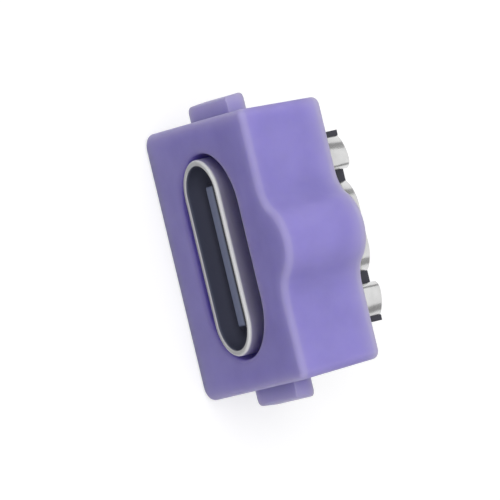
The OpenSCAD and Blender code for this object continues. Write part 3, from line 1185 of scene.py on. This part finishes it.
def view_axes(studio):
    """Right, up and back of the camera, from its azimuth, elevation and roll."""
    a, e, r = studio.azimuth, studio.elevation, studio.roll
    back = Vector((math.sin(a) * math.cos(e), -math.cos(a) * math.cos(e), math.sin(e)))
    level = Vector((math.cos(a), math.sin(a), 0.0))
    rise = back.cross(level)
    right = level * math.sin(r) + rise * math.cos(r)
    up = rise * math.sin(r) - level * math.cos(r)
    return right, up, back


def add_camera(studio):
    """The camera, turned and placed by the studio's angles and the aim."""
    right, up, back = view_axes(studio)
    data = bpy.data.cameras.new("camera")
    data.lens = LENS
    data.sensor_width = SENSOR
    camera = add_piece("camera", data)
    aim = Vector(AIM) - right * AIM_SHIFT[0] - up * AIM_SHIFT[1]
    turn = Matrix((right, up, back)).transposed().to_4x4()
    camera.matrix_world = Matrix.Translation(aim + back * FRAME_WIDTH * LENS / SENSOR) @ turn
    data.clip_start, data.clip_end = CLIP
    bpy.context.scene.camera = camera


def add_lamp(name, place, size, power, tint=(1.0, 1.0, 1.0)):
    """A soft square lamp that faces the socket and isn't seen itself."""
    data = bpy.data.lights.new(name, "AREA")
    data.size = size
    data.energy = power
    data.color = tint
    lamp = add_piece(name, data)
    away = Vector(place)
    lamp.rotation_mode = "QUATERNION"
    lamp.rotation_quaternion = away.to_track_quat("Z", "Y")
    lamp.location = away
    lamp.visible_camera = False
    lamp.visible_glossy = False


def seen_directly(tree):
    """1 for rays that show the background itself: to the camera, in gloss or through glass."""
    path = tree.node("ShaderNodeLightPath").outputs
    rays = ("Is Camera Ray", "Is Glossy Ray", "Is Transmission Ray")
    seen = [Value(tree, path[ray]) for ray in rays]
    return (seen[0] + seen[1] + seen[2]).at_most(1.0)


def set_world(strength):
    """A white world that lights the socket only by this strength."""
    world = bpy.data.worlds.new("studio")
    world.use_nodes = True
    bpy.context.scene.world = world
    world.node_tree.nodes.clear()
    tree = Tree(world.node_tree)
    seen = seen_directly(tree)
    level = strength + (1.0 - strength) * seen
    light = tree.node("ShaderNodeBackground", {"Color": grey(1.0), "Strength": level})
    tree.node("ShaderNodeOutputWorld", {"Surface": light})


def floor_material(rgb, glow):
    """Pale floor whose glow keeps it white in the view, with the socket's soft shadow."""
    finish = Finish("floor")
    speckle = finish.noise(3.0 * MM, 2.0)
    pale = finish.mix(speckle, rgba(scaled(rgb, 0.99)), rgba(rgb))
    matt = finish.node("ShaderNodeBsdfDiffuse", {"Color": pale})
    level = glow * seen_directly(finish)
    light = finish.node("ShaderNodeEmission", {"Color": grey(1.0), "Strength": level})
    return finish.close(finish.node("ShaderNodeAddShader", {0: matt, 1: light}))


def add_dark_card(name, place, size, level, facing=None):
    """A dark card that only shows in gloss. It faces the socket unless told otherwise."""
    finish = Finish(name)
    material = finish.close(finish.node("ShaderNodeEmission", {"Color": grey(level)}))
    turn = Vector(facing or place).to_track_quat("Z", "Y").to_matrix().to_4x4()
    fit = Matrix.Translation(place) @ turn @ Matrix.Diagonal((*size, 1.0, 1.0))
    mesh = mesh_from(
        lambda work: bmesh.ops.create_grid(work, x_segments=1, y_segments=1, size=0.5, matrix=fit)
    )
    mesh.materials.append(material)
    card = add_piece(name, mesh)
    for ray in ("camera", "diffuse", "shadow", "transmission"):
        setattr(card, "visible_" + ray, False)


def add_floor(glow):
    """A wide floor just under the socket."""
    mesh = mesh_from(
        lambda work: bmesh.ops.create_grid(work, x_segments=8, y_segments=8, size=FLOOR_REACH)
    )
    floor = add_piece("floor", mesh)
    floor.location = (0.0, 0.0, CAD_BOX[0].z - FLOOR_DROP)
    floor.data.materials.append(floor_material(settings().colours.floor, glow))


class SOCKET_OT_studio(Operator):
    """Set the camera, the soft light and the pale floor"""

    bl_idname = "socket.studio"
    bl_label = "Studio"

    def execute(self, context):
        studio = settings().studio
        add_camera(studio)
        set_world(studio.sky)
        add_lamp("top lamp", *TOP_LAMP, studio.top)
        (x, y, z), size = SIDE_LAMP
        for side, name in SIDES:
            add_lamp(name + " lamp", (side * x, y, z), size, studio.sides)
        add_lamp("front lamp", *FRONT_LAMP, studio.front, COOL)
        y, size = FRONT_CARD
        place = (0.0, y, CAD_BOX[0].z + FRONT_CARD_LIFT)
        add_dark_card("front card", place, size, FRONT_CARD_LEVEL, facing=(0.0, 0.0, 1.0))
        add_dark_card("left card", *LEFT_CARD, SIDE_CARD_LEVEL)
        add_dark_card("right card", *RIGHT_CARD, SIDE_CARD_LEVEL)
        add_floor(studio.floor_glow)
        context.scene.view_settings.view_transform = "Standard"
        return {"FINISHED"}


# ---- Add-on ----


class SOCKET_PT_panel(Panel):
    bl_label = "Power socket"
    bl_idname = "SOCKET_PT_panel"
    bl_space_type = "VIEW_3D"
    bl_region_type = "UI"
    bl_category = "Power socket"

    def draw(self, context):
        for operator in OPERATORS:
            self.layout.operator(operator.bl_idname)
        for group in SocketSettings.__annotations__:
            box = self.layout.box()
            part = getattr(settings(), group)
            for name in part.__annotations__:
                box.prop(part, name)


OPERATORS = (
    SOCKET_OT_finishes,
    SOCKET_OT_housing,
    SOCKET_OT_shell,
    SOCKET_OT_terminals,
    SOCKET_OT_contacts,
    SOCKET_OT_mouldings,
    SOCKET_OT_studio,
)
CLASSES = (
    HousingForm,
    MetalForm,
    MouldingForm,
    Colours,
    Studio,
    SocketSettings,
    *OPERATORS,
    SOCKET_PT_panel,
)


def register():
    """Add the socket's values, operators and panel to Blender."""
    for item in CLASSES:
        bpy.utils.register_class(item)
    bpy.types.Scene.socket_settings = PointerProperty(type=SocketSettings)


def unregister():
    """Take them out again."""
    del bpy.types.Scene.socket_settings
    for item in reversed(CLASSES):
        bpy.utils.unregister_class(item)


def main():
    register()
    bpy.ops.socket.finishes()
    bpy.ops.socket.housing()
    bpy.ops.socket.shell()
    bpy.ops.socket.terminals()
    bpy.ops.socket.contacts()
    bpy.ops.socket.mouldings()
    bpy.ops.socket.studio()


if __name__ == "__main__":
    main()
